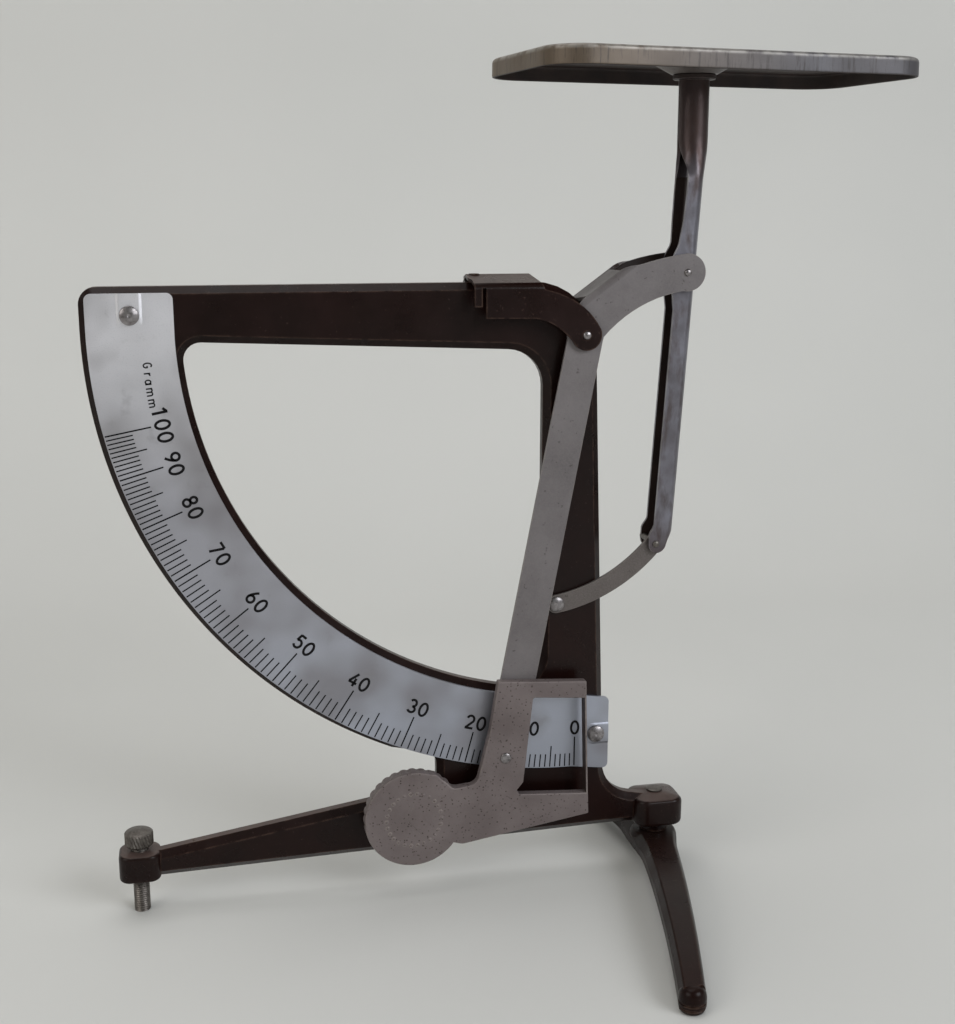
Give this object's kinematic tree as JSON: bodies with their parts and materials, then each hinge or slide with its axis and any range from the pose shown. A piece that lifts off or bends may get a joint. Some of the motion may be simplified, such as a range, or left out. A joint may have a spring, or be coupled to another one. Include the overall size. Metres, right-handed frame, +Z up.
{
  "type": "letter balance",
  "caption": "Quadrant pendulum balance: cast frame with curved gram dial, cranked beam with index weight, stemmed rectangular pan on a parallelogram linkage, swivelling cross foot.",
  "frame": {"origin": "centre of the levelling screw's flat tip, on the table", "axes": "+Z up, +X from the levelling screw along the frame towards the pan side, +Y away from the dial side"},
  "size_m": [0.1966, 0.148, 0.2043],
  "materials": {
    "frame_paint": "glossy dark brown hammer enamel",
    "lever_paint": "satin grey, worn at the edges",
    "weight_paint": "speckled brownish grey",
    "pan_paint": "satin grey",
    "dial_aluminium": "satin, printed",
    "bright_steel": "bright",
    "dull_steel": "dull"
  },
  "bodies": {
    "frame": {"quadrant_frame": "frame_paint", "scale_plate": "dial_aluminium", "scale_plate_rivet_upper": "bright_steel", "scale_plate_rivet_lower": "bright_steel", "bearing_bracket": "frame_paint", "bracket_rivet": "dull_steel", "main_pivot_pin": "bright_steel", "guide_link_rivet": "bright_steel", "cross_foot_collar": "frame_paint", "cross_foot_rivet": "dull_steel"},
    "beam": {"beam": "lever_paint", "index_weight": "weight_paint", "index_weight_rivet": "bright_steel", "pan_stem_upper_pin": "bright_steel"},
    "pan_stem": {"pan_stem": "lever_paint", "pan_stem_lower_pin": "bright_steel", "pan": "pan_paint", "pan_flange": "pan_paint", "pan_rivet": "dull_steel"},
    "guide_link": {"guide_link": "lever_paint"},
    "cross_foot": {"cross_foot": "frame_paint"},
    "levelling_screw": {"levelling_screw": "dull_steel"}
  },
  "joints": [
    {"name": "beam_swing", "type": "hinge", "parent": "frame", "child": "beam", "pos_m": [0.11, 0, 0.1402], "axis": [0, 1, 0], "range_deg": [-0.6, 80.2]},
    {"name": "pan_stem_hinge", "type": "hinge", "parent": "beam", "child": "pan_stem", "pos_m": [0.1352, 0, 0.1546], "axis": [0, 1, 0], "range_deg": [-80.4, 0.8]},
    {"name": "guide_link_hinge", "type": "hinge", "parent": "frame", "child": "guide_link", "pos_m": [0.1042, 0, 0.0732], "axis": [0, 1, 0], "range_deg": [-0.8, 80.4]},
    {"name": "cross_foot_swivel", "type": "hinge", "parent": "frame", "child": "cross_foot", "pos_m": [0.1326, 0, 0.0065], "axis": [0, 0, 1], "range_deg": [-78, 78]},
    {"name": "levelling_screw_travel", "type": "slide", "parent": "frame", "child": "levelling_screw", "axis": [0, 0, 1], "range_m": [-0.0007, 0.005]}
  ],
  "couplings": [
    {"joint": "pan_stem_hinge", "follows": "beam_swing", "ratio": -1},
    {"joint": "guide_link_hinge", "follows": "beam_swing", "ratio": 1}
  ]
}
